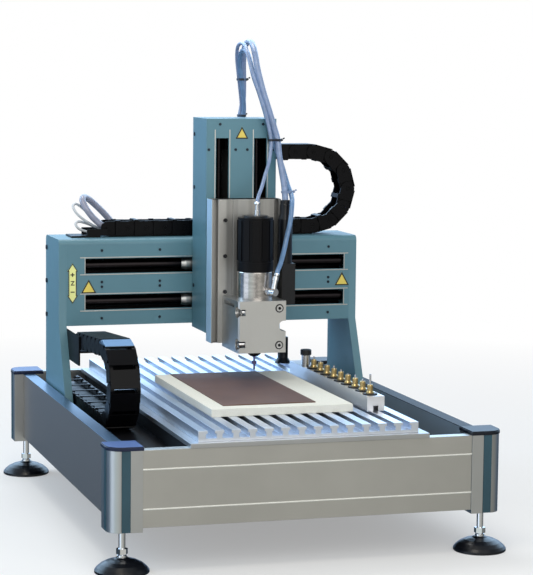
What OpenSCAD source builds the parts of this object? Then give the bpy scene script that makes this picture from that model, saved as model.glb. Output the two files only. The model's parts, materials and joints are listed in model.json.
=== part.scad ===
/* [Base frame] */
// width over the corner posts (mm)
base_w = 606; // [560:1:660]
// depth over the corner posts (mm)
base_d = 800; // [740:1:860]
// side of a corner post (mm)
post = 50; // [40:1:60]
// outer corner radius of a post (mm)
post_r = 22; // [10:1:24]
// underside of the posts above the floor (mm)
post_z0 = 62; // [50:1:80]
// top of the posts and the panels (mm)
post_z1 = 181; // [160:1:200]
// thickness of the side panels (mm)
side_t = 21; // [15:1:24]
// set-back of the side panels from the posts (mm)
side_in = 16; // [8:1:20]
// diameter of a levelling pad (mm)
pad_d = 80; // [60:1:84]

/* [Table] */
// number of ribs across the slotted table
ribs = 14; // [8:1:16]
// pitch of the slots (mm)
slot_pitch = 25; // [20:1:25]
// width of a rib top (mm)
rib_w = 14; // [10:1:16]
// top of the table above the floor (mm)
table_z = 204; // [196:1:210]
// thickness of the waste board (mm)
waste_t = 12; // [6:1:16]

/* [Gantry] */
// width over the end plates (mm)
gantry_w = 524; // [480:1:526]
// front face of the gantry behind the middle (mm)
gantry_y = 161; // [120:1:180]
// depth of the gantry (mm)
gantry_d = 112; // [100:1:120]
// top of the gantry above the floor (mm)
gantry_z1 = 434; // [400:1:450]
// underside of the beam above the floor (mm)
gantry_z0 = 289; // [280:1:300]

/* [Head] */
// middle of the head across the machine (mm)
head_x = 27; // [10:1:40]
// width of the column (mm)
col_w = 120; // [100:1:130]
// top of the column above the floor (mm)
col_z1 = 638; // [600:1:660]
// diameter of the spindle motor (mm)
motor_d = 60; // [50:1:64]
// diameter of the cutter (mm)
cutter_d = 3.2; // [1:0.1:6]

/* [Hidden] */
$fn = 48;
hw = base_w/2;
hd = base_d/2;
gx = gantry_w/2;
plate_t = 13;
in_x = hw - side_in - side_t;
fl_z = 75;
ledge_z = table_z - 23;
slot_z = table_z - 16;
tab_x = ((ribs - 1)*slot_pitch + rib_w)/2;
gy0 = gantry_y;
gy1 = gantry_y + gantry_d;
sl1 = [376.5, 401.5];
sl2 = [315.5, 340.5];
cover_x = [-189, -89, 11, 111, 211];
cover_z = [415, 362, 354, 301];
column_holes = [for (x = [-37, 37]) [x, 629], for (x = [-56, -10, 10, 56], z = [302, 587]) [x, z]];
xs_y = 177;
xs_z1 = 389;
xs_z2 = 328;
cy0 = 73;
cy1 = 159;
cz0 = 283;
cx0 = head_x - col_w/2;
cx1 = head_x + col_w/2;
sp_x = head_x + 1.5;
sp_y = -7;
rack_x = 139;
row_x = rack_x - 2.5;
row_pitch = 34.5;
rack_y0 = -288;
rack_z = 227;
pitch = 33;
xc_r = pitch/2/sin(15);
xc_x = 193.5;
xc_y = 217;
xc_z = gantry_z1 + 0.8 + 14 + xc_r;
y_pitch = 30;
yc_r = y_pitch/2/sin(15);
yc_x = -222;
yc_y = -87;
yc_z = 156 + 14 + yc_r;
yc_tilt = 3.8;

teal = [0.18, 0.36, 0.42];
alu = [0.72, 0.71, 0.69];
steel = [0.80, 0.80, 0.82];
dark = [0.08, 0.08, 0.09];
navy = [0.10, 0.12, 0.20];
brass = [0.78, 0.62, 0.34];

module box(a, b) { translate(a) cube([b[0]-a[0], b[1]-a[1], b[2]-a[2]]); }
// once at each corner post, turned so that the outer corner stays outside
module at_corners() {
  for (sx = [-1, 1], sy = [-1, 1]) translate([sx*(hw - post/2), sy*(hd - post/2), 0])
    rotate([0, 0, sx > 0 ? (sy > 0 ? 180 : 90) : (sy > 0 ? 270 : 0)]) children();
}
module sides() {
  children();
  mirror([1, 0, 0]) children();
}
// rod from a along one axis
module rod_x(x0, x1, y, z, d) { translate([x0, y, z]) rotate([0, 90, 0]) cylinder(d = d, h = x1 - x0); }
module rod_y(x, y0, y1, z, d) { translate([x, y1, z]) rotate([90, 0, 0]) cylinder(d = d, h = y1 - y0); }
module rod_z(x, y, z0, z1, d) { translate([x, y, z0]) cylinder(d = d, h = z1 - z0); }
// socket-head screw, head toward -Y on the plane y
module cap_screw_y(x, y, z, d = 5, h = 1, hex = 2.6, deep = 8) {
  difference() {
    union() {
      rod_y(x, y - h, y, z, d);
      rod_y(x, y - 0.2, y + deep, z, d*0.55);
    }
    translate([x, y - h + 0.7, z]) rotate([90, 0, 0]) cylinder(d = hex, h = 2, $fn = 6);
  }
}

// corner of the post outline, outer corner toward -X -Y
module post_outline(o = 0) {
  s = post/2 + o;
  difference() {
    square(2*s, center = true);
    translate([-s - 1, -s - 1]) square(post_r + o + 1);
  }
  intersection() {
    translate([-s, -s]) square(post_r + o + 0.01);
    translate([-s + post_r + o, -s + post_r + o]) circle(r = post_r + o, $fn = 64);
  }
}

module posts() color(alu) at_corners() difference() {
  translate([0, 0, post_z0]) linear_extrude(post_z1 - post_z0) difference() {
    post_outline();
    translate([post/2 - 31.4, -post/2 - 1]) square([13.2, 4.2]);
    translate([-post/2 - 1, post/2 - 31.4]) square([4.2, 13.2]);
    translate([6, -6]) circle(d = 9);
    translate([-6, 6]) circle(d = 9);
  }
  rod_z(0, 0, post_z0 - 1, post_z0 + 45, 10.1);
}

module post_inserts() color(teal) at_corners() for (m = [0, 1]) rotate([0, 0, -m*90]) mirror([m, 0, 0])
  box([post/2 - 31.2, -post/2 - 0.3, post_z0 + 0.5], [post/2 - 18.4, -post/2 + 3.1, post_z1 - 0.3]);

module post_caps() color(navy) at_corners() {
  translate([0, 0, post_z1]) linear_extrude(4.4) post_outline(1.2);
  translate([0, 0, post_z1 + 4.4]) linear_extrude(1.6) post_outline(0.2);
  for (s = [-1, 1]) rod_z(6*s, -6*s, post_z1 - 6, post_z1 + 1, 8.8);
}

// extruded panel profile: outer face at 0, thickness toward +X, height z0..z1
module panel_outline(t, z0, z1) difference() {
  translate([0, z0]) square([t, z1 - z0]);
  for (c = [0, 1, 2]) translate([4, z0 + 4 + c*(z1 - z0 - 4)/3]) square([t - 8, (z1 - z0 - 4)/3 - 4]);
  for (c = [1, 2]) translate([t - 3.2, z0 + c*(z1 - z0)/3 - 4]) square([4, 8]);
}
module panel_y(y, dir) translate([-(hw - post), y, 0]) rotate([90, 0, 90])
  linear_extrude(2*(hw - post)) scale([dir, 1]) {
    panel_outline(18, 68, post_z1);
    for (z = [95, 153]) translate([0, z]) polygon([[0.1, -1.6], [0.1, 0.8], [-1.2, 0.8], [-1.2, 0]]);
  }
module panel_ends() color(alu) {
  panel_y(-hd + 2, 1);
  difference() {
    panel_y(hd - 2, -1);
    box([185, hd - 30, 100], [235, hd + 5, 140]);
  }
}
module panel_sides() color(alu) sides() translate([-hw + side_in, hd - post, 0]) rotate([90, 0, 0])
  linear_extrude(base_d - 2*post) panel_outline(side_t, 68, post_z1);

module foot_pads() color(dark) at_corners() rotate_extrude($fn = 72)
  difference() {
    polygon([[0, 0], [pad_d/2 - 1, 0], [pad_d/2, 1], [pad_d/2, 4], [pad_d/2 - 3, 8], [pad_d/2 - 9, 13],
        [pad_d/2 - 17, 17], [pad_d/2 - 24, 19], [12, 20], [9, 22], [0, 22]]);
    translate([-1, 12]) square([8.05, 12]);
  }
module foot_studs() color(steel) at_corners() {
  translate([0, 0, 12]) rotate_extrude() polygon([[0, 0], [7, 0], [7, 13], [5, 14.5], [5, 93], [4, 94],
      [0, 94]]);
  translate([0, 0, 27]) cylinder(d = 17.4, h = 8, $fn = 6);
  rod_z(0, 0, 58.8, 62, 15);
}

module underframe() color(dark) {
  difference() {
    box([-in_x, -hd + 20, 70], [in_x, hd - 20, fl_z]);
    for (sx = [-1, 1], sy = [-1, 1]) translate([sx*in_x, sy*(hd - 20), 60])
        cube([58, 62, 40], center = true);
  }
  sides() difference() {
    box([130, -hd + 20, 129.9], [170, hd - 20, ledge_z]);
    box([134, -hd + 40, 134], [166, hd - 40, 154]);
    box([134, -hd + 40, 158], [166, hd - 40, ledge_z - 4]);
  }
  sides() for (y = [-hd + 20, hd - 40]) box([134, y, fl_z - 1], [166, y + 20, 130]);
  box([-246.5, -362, 152], [-169, 330, 155]);
  box([-173, -362, 154.9], [-169, 330, 180]);
  for (x = [-248.7, -197.8]) box([x, 286, 152], [x + 2.4, 326, 180]);
}
module ledge_plate() color(alu) box([-183.5, -hd - 2, ledge_z], [183.5, 352, slot_z]);
module t_slot_table() color(alu) translate([0, 350, slot_z]) rotate([90, 0, 0]) linear_extrude(741)
    difference() {
  translate([-tab_x, 0]) square([2*tab_x, 16]);
  for (k = [1:ribs - 1]) translate([-tab_x + k*slot_pitch - (slot_pitch - rib_w)/2 , 0]) {
    translate([-(slot_pitch - rib_w)/2, 6]) square([slot_pitch - rib_w, 11]);
    translate([-8, 4.5]) square([16, 7]);
  }
}
module waste_board() color([0.92, 0.89, 0.80]) box([-120, -283, table_z], [104, 68, table_z + waste_t]);
module clad_board() color([0.55, 0.36, 0.26]) box([-95, -258, table_z + waste_t],
    [52, 62, table_z + waste_t + 1.6]);

module tool_rack() color(alu) difference() {
  box([rack_x - 14, rack_y0, table_z], [rack_x + 14, 104, rack_z]);
  box([rack_x - 4, rack_y0 - 1, table_z - 1], [rack_x + 4, rack_y0 + 40, table_z + 8.5]);
  for (k = [0:8]) rod_z(row_x, -268 + row_pitch*k, table_z + 6, rack_z + 1, 9);
  rod_z(rack_x - 4.5, 30, rack_z - 6, rack_z + 1, 10);
}
module tool_holders() color(brass) for (k = [0:8]) translate([row_x, -268 + row_pitch*k, rack_z - 12])
    rotate_extrude()
  polygon([[1.7, 0], [4.45, 0], [4.45, 12], [4.45, 14], [6.4, 14], [6.4, 15.5], [4.6, 18], [4.6, 26],
      [4, 27.5], [1.7, 27.5]]);
module holder_rings() color(dark) for (k = [0:8]) translate([row_x, -268 + row_pitch*k, rack_z])
    difference() {
  cylinder(d = 23, h = 1.9);
  translate([0, 0, -1]) cylinder(d = 9, h = 4);
}
module rack_tools() color(steel) {
  rod_z(row_x, -268, rack_z - 10, rack_z + 31.6, 3.2);
  for (k = [1:8]) rod_z(row_x, -268 + row_pitch*k, rack_z - 10, rack_z + 17 + (k % 3)*1.5, 3.2);
}
module length_sensor() color(steel) {
  translate([rack_x - 9.5, 30, rack_z]) rotate_extrude()
    polygon([[0, 0], [7.25, 0], [7.25, 20], [8.4, 20], [9.2, 20.8], [9.2, 28.2], [8.2, 29.2], [3, 29.2],
        [2.6, 28.8], [0, 28.8]]);
  rod_z(rack_x - 4.5, 30, rack_z - 6, rack_z + 0.1, 9.9);
}
module rear_stand() color(dark) translate([154, 236, table_z]) rotate_extrude()
  polygon([[0, 0], [14, 0], [14, 1.5], [9, 9], [9, 45], [8, 46], [0, 46]]);

module y_guides() color(steel) {
  sides() difference() {
    box([207.5, -228, fl_z], [222.5, 348, fl_z + 14]);
    for (sx = [206, 220.5]) box([sx, -230, fl_z + 7], [sx + 3.5, 350, fl_z + 10]);
    for (k = [0:8]) rod_z(215, -208 + 66*k, fl_z + 9, fl_z + 15, 8);
  }
  for (p = [[-216, -196], [318.5, 334]]) difference() {
    box([-26, p[0], fl_z], [26, p[1], 112]);
    rod_y(0, p[0] - 1, p[1] + 1, 104, 10.1);
    box([-30, p[0] - 1, 114], [30, p[1] + 1, 140]);
  }
}
module y_screw() color(steel) {
  rod_y(0, -222, 333.9, 104, 10);
  rod_y(0, -194, 317, 104, 16);
}
module y_motor() color(dark) {
  difference() {
    box([-28.2, 334.2, fl_z + 0.6], [28.2, 379.6, 132]);
    for (sx = [-1, 1], z = [fl_z, 132.6]) translate([sx*28.8, 350, z]) rotate([0, 45, 0])
        cube([8, 80, 8], center = true);
    rod_y(0, 330, 340, 104, 12);
  }
}
// one chain link: pins at x=0 and x=p, outside of the bend toward +Z, width w along Y;
// the flat block along the middle is the pack of cables it carries
module link(w, bar, p) {
  for (s = [0, 1]) mirror([0, s, 0]) {
    translate([0, w/2, 0]) rotate([90, 0, 0]) linear_extrude(3.2) difference() {
      union() {
        translate([p, 0]) circle(r = 12.1);
        translate([12.5, -12.1]) square([p - 12.5, 24.2]);
      }
      translate([p, 0]) circle(r = 3.2);
    }
    translate([0, w/2 - 3.3, 0]) rotate([90, 0, 0]) linear_extrude(3) union() {
      circle(r = 12.1);
      translate([0, -12.1]) square([p - 12.5, 24.2]);
    }
    box([12.5, w/2 - 6.3, -13], [p - 12.5, w/2, 13]);
    translate([0, w/2 - 3.31, 0]) rotate([-90, 0, 0]) cylinder(r = 2.8, h = 3.3);
  }
  box([0.3, -w/2 + 0.8, 12.3], [p - 0.3, w/2 - 0.8, 14]);
  if (bar) box([13, -w/2 + 2, -14], [p - 13, w/2 - 2, -12.3]);
  box([1.2, -w/2 + 7.2, -3.4], [p - 1.2, w/2 - 7.2, 3.4]);
  box([13, -w/2 + 6, -2], [p - 13, w/2 - 6, 2]);
}
module chain_run(n, w, first = 0, p = pitch) for (k = [0:n - 1]) translate([k*p, 0, 0])
    link(w, (k + first) % 2 == 0, p);
// half-circle bend starting at the origin toward +X and curling up over +Z; outside faces out
module chain_bend(n, r, w, p = pitch) for (k = [0:n - 1]) rotate([0, -k*180/n, 0]) translate([0, 0, -r])
    rotate([0, -90/n, 0]) mirror([0, 0, 1]) link(w, k % 2 == 0, p);

module y_chain_lower() color(dark) translate([yc_x, yc_y + 13*y_pitch, yc_z - yc_r]) rotate([0, 0, -90])
    mirror([0, 0, 1]) chain_run(13, 48, 1, y_pitch);
module y_chain_bend() color(dark) translate([yc_x, yc_y, yc_z]) rotate([0, 0, -90])
    chain_bend(6, yc_r, 48, y_pitch);
module y_chain_upper() color(dark) translate([yc_x, yc_y, yc_z + yc_r]) rotate([-yc_tilt, 0, 0])
    rotate([0, 0, 90]) chain_run(6, 48, 1, y_pitch);
module chain_brackets() color(dark) {
  box([-248.9, 64, 236], [-246.3, 200, 284]);
  box([-248.9, 64, 256.4], [-195.1, 140, 259.4]);
  box([-197.7, 64, 256.4], [-195.1, 112, 284]);
  box([-234, 193.4, gantry_z1], [-184, 240.6, gantry_z1 + 3]);
  for (y = [193.4, 237.6]) box([-207, y, gantry_z1 + 2.9], [-172, y + 3, gantry_z1 + 14]);
}

// side view of an end plate, drawn in Y and Z
module leg_outline() {
    polygon([[gy0, gantry_z1 - 9], [gy0 + 9, gantry_z1], [gy1 - 9, gantry_z1], [gy1, gantry_z1 - 9],
        [gy1, 100], [106, 100], [106, 168], [gy0, 290]]);
    for (y = [gy0 + 9, gy1 - 9]) translate([y, gantry_z1 - 9]) circle(r = 9);
}
module plate_at(x) translate([x, 0, 0]) rotate([90, 0, 90]) linear_extrude(plate_t) leg_outline();
module end_plates() color(teal) difference() {
  for (x = [-gx, gx - plate_t]) plate_at(x);
  for (z = [xs_z1, xs_z2]) rod_x(-gx + 5, gx - 5, xs_y, z, 16);
  rod_x(0, gx - 6, 201, xs_z1, 12.1);
}

module beam() color(alu) translate([-gx + plate_t, 0, 0]) rotate([90, 0, 90])
    linear_extrude(gantry_w - 2*plate_t) difference() {
  translate([214, gantry_z0 + 3]) square([49.5, gantry_z1 - gantry_z0 - 6]);
  for (k = [0:2]) translate([219, gantry_z0 + 8 + k*45]) square([39.5, 40]);
}
module cover_outline() difference() {
  union() {
    translate([gy0, gantry_z0]) square([gantry_d, gantry_z1 - gantry_z0 - 9]);
    translate([gy0 + 9, gantry_z1 - 10]) square([gantry_d - 18, 10]);
    for (y = [gy0 + 9, gy1 - 9]) translate([y, gantry_z1 - 9]) circle(r = 9);
  }
  translate([gy0 + 2.5, gantry_z0 + 2.5]) square([gantry_d - 5, gantry_z1 - gantry_z0 - 12.5]);
  translate([gy0 + 9, gantry_z1 - 12]) square([gantry_d - 18, 9.5]);
}
module beam_cover() color(teal) difference() {
  translate([-gx + plate_t, 0, 0]) rotate([90, 0, 90]) linear_extrude(gantry_w - 2*plate_t) cover_outline();
  for (s = [sl1, sl2]) box([-217, gy0 - 1, s[0]], [239, gy0 + 5, s[1]]);
  for (x = cover_x, z = cover_z) rod_y(x, gy0 - 1, gy0 + 4, z, 2.7);
  rod_z(-147, 252, gantry_z1 - 5, gantry_z1 + 1, 17);
}
module cover_trims() color(alu) for (s = [sl1, sl2]) difference() {
  box([-226, gy0 - 0.5, s[0] - 2.6], [247, gy0, s[1] + 2.6]);
  box([-230, gy0 - 2, s[0] - 1], [-218.4, gy0 + 2, s[1] + 1]);
  box([-217.1, gy0 - 2, s[0] - 1], [239.1, gy0 + 2, s[1] + 1]);
  box([240.4, gy0 - 2, s[0] - 1], [250, gy0 + 2, s[1] + 1]);
}
module cover_screws() color(dark) {
  for (x = cover_x, z = cover_z) cap_screw_y(x, gy0, z, 4.6, 0.9, 2.4, 2.4);
  for (s = [-1, 1], z = [298, 356, 413]) rod_x(s > 0 ? gx : -gx - 2.2, s > 0 ? gx + 2.2 : -gx, 262, z, 8);
}
module x_shafts() color(dark) for (z = [xs_z1, xs_z2]) rod_x(-gx + 5.2, gx - 5.2, xs_y, z, 15.9);
module x_screw() color(steel) {
  rod_x(-203.7, gx - 6.2, 201, xs_z1, 12);
  rod_x(-203.7, -178, 201, xs_z1, 19);
}
module x_motor() color(dark) difference() {
  box([-248.8, 185.6, 368], [-204, 213.6, 410]);
  rod_x(-208, -200, 201, xs_z1, 12);
}
module gantry_labels() color([0.95, 0.78, 0.10]) {
  translate([-239, gy0, 360.5]) rotate([90, 0, 0]) linear_extrude(0.4)
      polygon([[0, 33], [7, 19], [4.6, 19], [4.6, -19], [7, -19], [0, -33], [-7, -19], [-4.6, -19],
      [-4.6, 19], [-7, 19]]);
  for (x = [-211.5, 236]) translate([x, gy0, x > 0 ? 359 : 355]) rotate([90, 0, 0]) linear_extrude(0.4)
      polygon([[-13, -11.5], [13, -11.5], [0, 11.5]]);
}
module cross_tie() color(alu) {
  box([-gx + plate_t + 0.1, 165, 114], [gx - plate_t - 0.1, 245, 126]);
  sides() box([194, 107, 114], [gx - plate_t - 0.1, 271, 126]);
}
module y_blocks() color(steel) {
  sides() for (y = [114, 214]) difference() {
    box([197, y, fl_z + 5], [233, y + 52, 114]);
    box([206.9, y - 1, fl_z], [223.1, y + 60, fl_z + 14.4]);
  }
  difference() {
    box([-22, 184, 88], [22, 226, 114]);
    rod_y(0, 180, 230, 104, 16.1);
  }
}
module x_chain_lower() color(dark) translate([xc_x - 11*pitch, xc_y, xc_z - xc_r]) mirror([0, 0, 1])
    chain_run(11, 40, 1);
module x_chain_bend() color(dark) translate([xc_x, xc_y, xc_z]) chain_bend(6, xc_r, 40);
module x_chain_upper() color(dark) translate([xc_x, xc_y, xc_z + xc_r]) rotate([0, 0, 180])
    chain_run(3, 40, 1);

module column() color(teal) difference() {
  box([cx0, cy0 + 3, cz0], [cx1, cy1, col_z1 - 4]);
  box([cx0 + 5, cy0 - 5, cz0 + 6], [cx1 - 5, cy1 - 9, col_z1 - 20]);
  rod_z(head_x, 118, cz0 - 1, cz0 + 7, 8.1);
}
module column_cover() color(teal) {
  difference() {
    box([cx0, cy0, cz0], [cx1, cy0 + 3, col_z1 - 4]);
    for (x = [head_x - 43.5, head_x + 22]) box([x, cy0 - 1, 296], [x + 21.5, cy0 + 4, 606]);
    for (p = column_holes) rod_y(head_x + p[0], cy0 - 1, cy0 + 4, p[1], 2.7);
  }
  box([cx0, cy0, col_z1 - 4], [cx1, cy1, col_z1]);
}
module column_trims() color(alu) for (x = [head_x - 43.5, head_x + 22]) for (s = [-2.6, 22.6])
    box([x + s, cy0 - 0.5, 296], [x + s + 1.5, cy0, 620]);
module column_screws() color(dark) {
  for (p = column_holes) cap_screw_y(head_x + p[0], cy0, p[1], 4.6, 0.9, 2.4, 2.4);
  for (z = [610, 521, 355]) rod_x(cx0 - 1.6, cx0, 148, z, 6);
}
module x_slider() color(alu) for (z = [xs_z1, xs_z2]) difference() {
  union() {
    box([head_x - 38, cy1, z - 10.5], [head_x + 38, 189, z + 10.5]);
    if (z == xs_z1) box([head_x - 20, 188.9, z - 10.5], [head_x + 20, 212, z + 10.5]);
    rod_x(cx0 - 8, cx1 - 1, xs_y, z, 21.6);
    translate([cx0 - 16, xs_y, z]) rotate([0, 90, 0]) cylinder(d1 = 16.6, d2 = 21.6, h = 8.1);
  }
  rod_x(cx0 - 20, cx1 + 20, xs_y, z, 16);
  rod_x(head_x - 40, head_x + 40, 201, z, 12.1);
}
module z_shafts() color(steel) for (x = [head_x - 32.7, head_x + 32.7])
    rod_z(x, 98, cz0 + 6, col_z1 - 20, 12);
module z_screw() color(steel) {
  rod_z(head_x, 118, cz0, 585.8, 8);
  rod_z(head_x, 118, 300, 580, 12);
}
module z_motor() color(dark) box([head_x - 21, 97, 586], [head_x + 21, 139, col_z1 - 20]);
module x_chain_end() color(dark) {
  box([head_x + 32, cy1, 556], [head_x + 78, 240.6, 559.5]);
  for (y = [193.4, 237.6]) box([head_x + 40, y, 559.4], [head_x + 77, y + 3, 586]);
}

module z_plate() color(alu) difference() {
  box([head_x - 59.5, 40, 270], [head_x + 59.5, 70, 507]);
  for (s = [-1, 1]) {
    translate([head_x + s*52, 0, 0]) { box([-4, 39, 260], [4, 46, 520]); box([-7, 45.9, 260],
        [7, 52, 520]); }
    box([head_x + s*23 - 0.8, 39, 260], [head_x + s*23 + 0.8, 40.8, 520]);
    box([head_x + s*30 - 10, 56, 260], [head_x + s*30 + 10, 66, 520]);
  }
}
module z_slider() color(alu) difference() {
  union() {
    for (s = [-1, 1]) box([head_x + s*32.7 - 9, 70, 360], [head_x + s*32.7 + 9, 108, 470]);
    box([head_x - 40, 84, 360], [head_x + 40, 132, 470]);
  }
  for (s = [-1, 1]) rod_z(head_x + s*32.7, 98, 350, 480, 12.1);
  rod_z(head_x, 118, 350, 480, 12.1);
}
module clamp_block() color(alu) difference() {
  box([head_x - 40, -55, 265], [head_x + 40, 40, 349]);
  translate([head_x - 40, -55, 264]) rotate([0, 0, 45]) cube([3.4, 3.4, 200], center = true);
  rod_z(sp_x, sp_y, 258, 360, 46);
  rod_z(sp_x, sp_y, 300, 360, 56);
  box([head_x + 36.6, -60, 299.5], [head_x + 50, 50, 316.5]);
  rod_y(head_x + 36.8, -60, 50, 308, 17);
  box([head_x - 60, -30, 337], [head_x - 30, 30, 343]);
  for (z = [279, 331]) translate([head_x - 41, -47, z]) rotate([0, 90, 0]) cylinder(d = 19, h = 13);
  for (z = [337, 277]) rod_y(head_x + 29, -56, -49, z, 10.6);
}
module spindle_motor() color(dark) translate([sp_x, sp_y, 0]) difference() {
  union() {
    rod_z(0, 0, 394, 481, motor_d - 2);
    rod_z(0, 0, 394, 409, motor_d);
    for (k = [0:11]) rotate([0, 0, 15 + k*30]) box([-5, -motor_d/2, 411.5], [5, 0, 477]);
  }
  rod_z(0, 0, 476, 490, 40);
}
module spindle_body() color(steel) translate([sp_x, sp_y, 0]) rotate_extrude($fn = 96) difference() {
  polygon([[0, 268], [20, 268], [22.9, 270], [22.9, 300], [27.9, 300.1], [27.9, 349], [29, 349.1],
      [29, 392], [28.2, 393.9], [0, 393.9]]);
  translate([-1, 260]) square([11.05, 28]);
}
module head_fittings() color(steel) {
  for (z = [337, 277]) difference() {
    rod_y(head_x + 29, -56.2, -49.1, z, 10.2);
    translate([head_x + 29, -54, z]) rotate([90, 0, 0]) cylinder(d = 5.4, h = 5, $fn = 6);
  }
  for (z = [279, 331]) difference() {
    translate([head_x - (z < 300 ? 38 : 33), -47, z]) rotate([0, 90, 0])
        cylinder(d = 10.2, h = z < 300 ? 9.9 : 4.9);
    translate([head_x - 39, -47, z]) rotate([0, 90, 0]) cylinder(d = 5.4, h = z < 300 ? 5 : 8, $fn = 6);
  }
  for (x = [head_x - 36.5, head_x + 36.5], z = [355, 414, 473]) difference() {
    rod_y(x, 36.5, 40, z, 6.5);
    translate([x, 38.5, z]) rotate([90, 0, 0]) cylinder(d = 3.4, h = 5, $fn = 6);
  }
  translate([sp_x, sp_y, 0]) {
    rod_z(0, 0, 476.1, 484, 39.8);
    rod_z(2, -2, 483.9, 492, 9);
    rod_z(2, -2, 491.9, 502, 7);
  }
  // swivel elbow on the spindle body, leaning to the right
  translate([sp_x, sp_y, 362]) rotate([0, 0, -62]) {
    rod_x(29.2, 33, 0, 0, 13);
    translate([32.9, 0, 0]) rotate([0, 90, 0]) cylinder(d = 13.8, h = 4.5, $fn = 6);
    rod_x(37.3, 48, 0, 0, 12.4);
    translate([42, 0, 0]) rotate([-14, 0, 0]) {
      rod_z(0, 0, 0, 26.4, 8.4);
      rod_z(0, 0, 19, 25, 10.6);
    }
  }
}
module side_box() color(dark) {
  box([head_x + 54, 12, 334], [head_x + 76.5, 39.9, 402]);
  translate([head_x + 62, 26, 0]) rotate_extrude() polygon([[0, 401.9], [12.4, 401.9], [12.4, 474],
      [8.6, 484], [8.6, 498], [7.6, 500], [0, 500]]);
}
module rotor() color(dark) translate([sp_x, sp_y, 0]) rotate_extrude()
    polygon([[0, 254], [7, 254], [10.4, 257], [10.4, 266], [10, 266.1], [10, 287], [0, 287]]);
module cutter() color(steel) translate([sp_x, sp_y, 0]) rotate_extrude()
    polygon([[0, 229], [cutter_d/8, 229], [cutter_d/2, 233], [cutter_d/2, 240], [4, 241], [4, 245],
    [cutter_d/2, 246], [cutter_d/2, 253.9], [0, 253.9]]);

// tube swept along points: rings of n sides, each square to the path
function dirn(p, i) = let(a = p[max(i - 1, 0)], b = p[min(i + 1, len(p) - 1)], d = b - a) d/norm(d);
function ring_pt(p, i, r, n, k) = let(d = dirn(p, i), u0 = cross(d, [0, 1, 0]), u = u0/norm(u0),
    v = cross(d, u)) p[i] + r*cos(360*k/n)*u + r*sin(360*k/n)*v;
module tube(p, r, n = 8) {
  m = len(p);
  pts = [for (i = [0:m - 1], k = [0:n - 1]) ring_pt(p, i, r, n, k)];
  caps = [[for (k = [0:n - 1]) k], [for (k = [0:n - 1]) m*n - 1 - k]];
  skin = [for (i = [0:m - 2], k = [0:n - 1]) each [[i*n + k, (i + 1)*n + k, (i + 1)*n + (k + 1) % n],
      [i*n + k, (i + 1)*n + (k + 1) % n, i*n + (k + 1) % n]]];
  polyhedron(points = pts, faces = concat(caps, skin));
}
// smooth curve through hand-placed points
function cr(a, b, c, d, t)
    = 0.5*((2*b) + (c - a)*t + (2*a - 5*b + 4*c - d)*t*t + (3*b - a - 3*c + d)*t*t*t);
function curve(p, n) = [for (i = [0:n]) let(s = i/n*(len(p) - 1), j = min(floor(s), len(p) - 2),
    t = s - j) cr(p[max(j - 1, 0)], p[j], p[j + 1], p[min(j + 2, len(p) - 1)], t)];
blue_pts = [[93.4, 207.8, 574.4], [84, 207.5, 578], [73, 206.5, 588], [66, 205, 604], [65, 203.5, 624],
    [68, 201.5, 646], [66, 198.5, 672], [61, 194, 702], [55, 184, 728], [51, 164, 745], [49, 138, 751],
    [47, 110, 746], [45.5, 88, 730], [49, 78, 706], [57, 72, 680], [65, 70, 654], [71.5, 66, 628],
    [77, 65, 604], [84, 64, 588], [90.5, 61, 570], [96, 55, 548], [99.5, 46, 529], [101, 34, 517],
    [99, 20, 507], [94.5, 7, 494], [90, 0, 472], [84, -3, 450], [76, -13, 428], [65, -30, 408],
    [57, -39.6, 396.5], [54.2, -41, 388.8]];
clear_pts = [[93.4, 215.5, 574.6], [84, 215.5, 578], [72, 215, 588], [64.5, 213.5, 606], [64, 212, 630],
    [66, 210, 656], [62, 206, 686], [57, 200, 712], [51, 188, 738], [46, 166, 756], [43.5, 136, 762],
    [42, 106, 757], [40, 82, 740], [42, 66, 716], [50, 58, 686], [60, 55, 656], [67, 54, 630],
    [71.5, 52, 604], [69, 46, 585], [63, 36, 566], [53, 22, 548], [42.5, 5, 530], [32.5, -8, 514],
    [30.5, -9, 503]];
grey_pts = [[92.6, 224.6, 575], [84, 224.6, 578.5], [72, 224, 590], [66, 222.5, 608], [67, 220.5, 634],
    [71, 217.5, 664], [70, 212, 700], [66, 200, 730], [61, 176, 755], [58, 146, 764], [56, 116, 762],
    [53, 88, 746], [53, 70, 718], [60, 62, 684], [70, 59.5, 652], [78, 58, 626], [84, 56, 604],
    [85.5, 51, 580], [87.5, 43, 555], [89, 33, 530], [89, 27, 512], [89, 26, 501]];
module hose_blue() color([0.20, 0.45, 0.85]) tube(curve(blue_pts, 24), 4);
module hose_clear() color([0.85, 0.88, 0.90]) {
  tube(curve(clear_pts, 23), 3);
  tube(curve(grey_pts, 18), 5);
}
loop_pts = [[-172, 211, 449.5], [-181, 210, 455], [-195, 209, 468], [-206, 210, 483], [-210, 217, 495],
    [-205, 228, 500], [-194, 238, 495], [-180, 247, 484], [-165, 252, 470], [-152, 252.5, 455],
    [-147, 252, 443], [-147, 252, 432]];
white_pts = [[-170, 221.5, 445], [-184, 219, 449], [-204, 217, 460], [-220, 215, 473], [-226, 219, 485],
    [-219, 226, 489], [-205, 229.5, 479], [-188, 229, 463], [-170, 227.4, 453]];
small_pts = [[-170, 217, 440.5], [-184, 216, 440], [-200, 214.5, 441.5], [-216, 213, 447],
    [-222, 216, 455], [-216, 221.5, 459], [-203, 225, 456], [-186, 226.5, 449.5], [-170, 226.5, 446]];
module cable_loop() color([0.62, 0.68, 0.78]) {
  tube(curve(loop_pts, 13), 5.5);
  for (p = [white_pts, small_pts]) tube(curve(p, 10), 2.2);
}

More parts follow.
